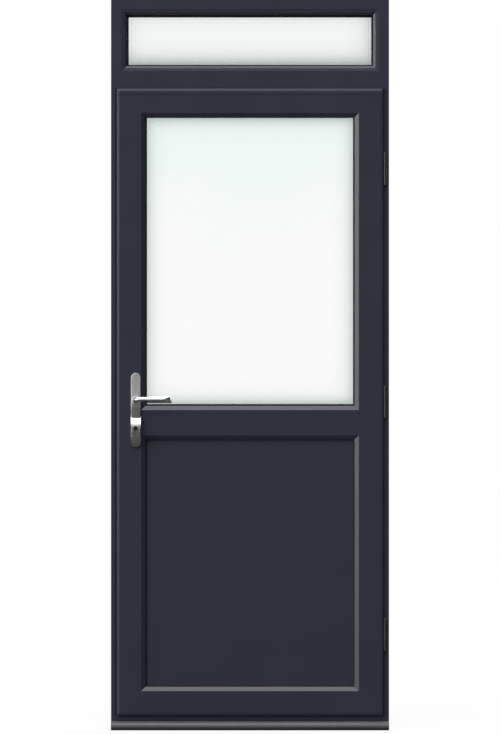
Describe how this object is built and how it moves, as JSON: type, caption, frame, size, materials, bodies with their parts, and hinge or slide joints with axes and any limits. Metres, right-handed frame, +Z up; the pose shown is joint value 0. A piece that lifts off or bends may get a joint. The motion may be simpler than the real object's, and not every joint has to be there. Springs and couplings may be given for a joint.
{
  "type": "glass door",
  "caption": "Half-glazed entrance door in an anthracite frame, with a fixed top light, a flat lower panel, an open-out leaf, lever handles on long plates and a metal threshold.",
  "frame": {"origin": "middle of the threshold's underside, on the plane of the frame's outside face", "axes": "+X along the wall towards the hinges, +Y from outside to inside, +Z up"},
  "size_m": [0.9, 0.178, 2.368],
  "materials": {
    "upvc": "smooth anthracite foil on hollow plastic profiles",
    "seal": "black extruded rubber",
    "glass": "clear float glass with a faint green tint",
    "spacer": "dull spacer bar",
    "packer": "moulded packers",
    "sill": "satin anodised",
    "zinc_steel": "zinc plated",
    "bolt_steel": "polished steel bolts",
    "handle": "satin nickel",
    "lever": "polished satin chrome",
    "hinge": "powder coated"
  },
  "bodies": {
    "frame": {"frame_head": "upvc", "frame_foot": "upvc", "frame_lock_jamb": "upvc", "frame_hinge_jamb": "upvc", "frame_transom": "upvc", "threshold": "sill", "frame_reinforcement": "zinc_steel", "frame_seal": "seal", "toplight_outer_pane": "glass", "toplight_inner_pane": "glass", "toplight_spacer": "spacer", "toplight_gaskets": "seal", "toplight_packers": "packer", "toplight_bead_top": "upvc", "toplight_bead_bottom": "upvc", "toplight_bead_left": "upvc", "toplight_bead_right": "upvc", "hook_keeps": "handle", "centre_keep": "handle", "hinge_frame_straps": "hinge", "hinge_pins": "hinge"},
    "leaf": {"leaf_top_rail": "upvc", "leaf_bottom_rail": "upvc", "leaf_lock_stile": "upvc", "leaf_hinge_stile": "upvc", "leaf_mid_rail": "upvc", "leaf_reinforcement": "zinc_steel", "leaf_seal": "seal", "glass_outer_pane": "glass", "glass_inner_pane": "glass", "glass_spacer": "spacer", "glass_gaskets": "seal", "glass_bead_top": "upvc", "glass_bead_bottom": "upvc", "glass_bead_left": "upvc", "glass_bead_right": "upvc", "lower_panel": "upvc", "panel_gaskets": "seal", "panel_bead_top": "upvc", "panel_bead_bottom": "upvc", "panel_bead_left": "upvc", "panel_bead_right": "upvc", "leaf_packers": "packer", "hinge_leaf_straps": "hinge", "lock_faceplate": "handle", "lock_cases": "zinc_steel", "outer_plate": "handle", "inner_plate": "handle", "cylinder_body": "handle"},
    "lever_set": {"outer_lever": "lever", "inner_lever": "lever", "spindle": "zinc_steel", "follower": "zinc_steel"},
    "latch": {"latch_bolt": "bolt_steel"},
    "deadbolt": {"deadbolt": "bolt_steel"},
    "upper_hook": {"upper_hook": "bolt_steel"},
    "lower_hook": {"lower_hook": "bolt_steel"},
    "lock_rail": {"lock_rail": "zinc_steel"},
    "cylinder_plug": {"cylinder_plug": "bolt_steel"}
  },
  "joints": [
    {"name": "leaf_swing", "type": "hinge", "parent": "frame", "child": "leaf", "pos_m": [0.4373, -0.006, 1.063], "axis": [0, 0, 1], "range_deg": [0, 100]},
    {"name": "lever_turn", "type": "hinge", "parent": "leaf", "child": "lever_set", "pos_m": [-0.369, 0.021, 1.069], "axis": [0, 1, 0], "range_deg": [0, 40], "stiffness_Nm_per_rad": 1.2, "springref_deg": -28.65},
    {"name": "latch_slide", "type": "slide", "parent": "leaf", "child": "latch", "axis": [1, 0, 0], "range_m": [0, 0.01]},
    {"name": "rail_throw", "type": "slide", "parent": "leaf", "child": "lock_rail", "axis": [0, 0, 1], "range_m": [0, 0.02]},
    {"name": "deadbolt_throw", "type": "slide", "parent": "leaf", "child": "deadbolt", "axis": [-1, 0, 0], "range_m": [0, 0.02]},
    {"name": "upper_hook_swing", "type": "hinge", "parent": "leaf", "child": "upper_hook", "pos_m": [-0.384, 0.021, 1.697], "axis": [0, 1, 0], "range_deg": [0, 90]},
    {"name": "lower_hook_swing", "type": "hinge", "parent": "leaf", "child": "lower_hook", "pos_m": [-0.384, 0.021, 0.429], "axis": [0, 1, 0], "range_deg": [0, 90]},
    {"name": "cylinder_turn", "type": "hinge", "parent": "leaf", "child": "cylinder_plug", "pos_m": [-0.369, 0.021, 0.977], "axis": [0, 1, 0], "range_deg": [0, 360]}
  ],
  "couplings": [
    {"joint": "latch_slide", "follows": "lever_turn", "m_per_rad": 0.01432},
    {"joint": "deadbolt_throw", "follows": "rail_throw", "ratio": 1},
    {"joint": "upper_hook_swing", "follows": "rail_throw", "rad_per_m": 78.5},
    {"joint": "lower_hook_swing", "follows": "rail_throw", "rad_per_m": 78.5},
    {"joint": "cylinder_turn", "follows": "rail_throw", "rad_per_m": 314}
  ]
}
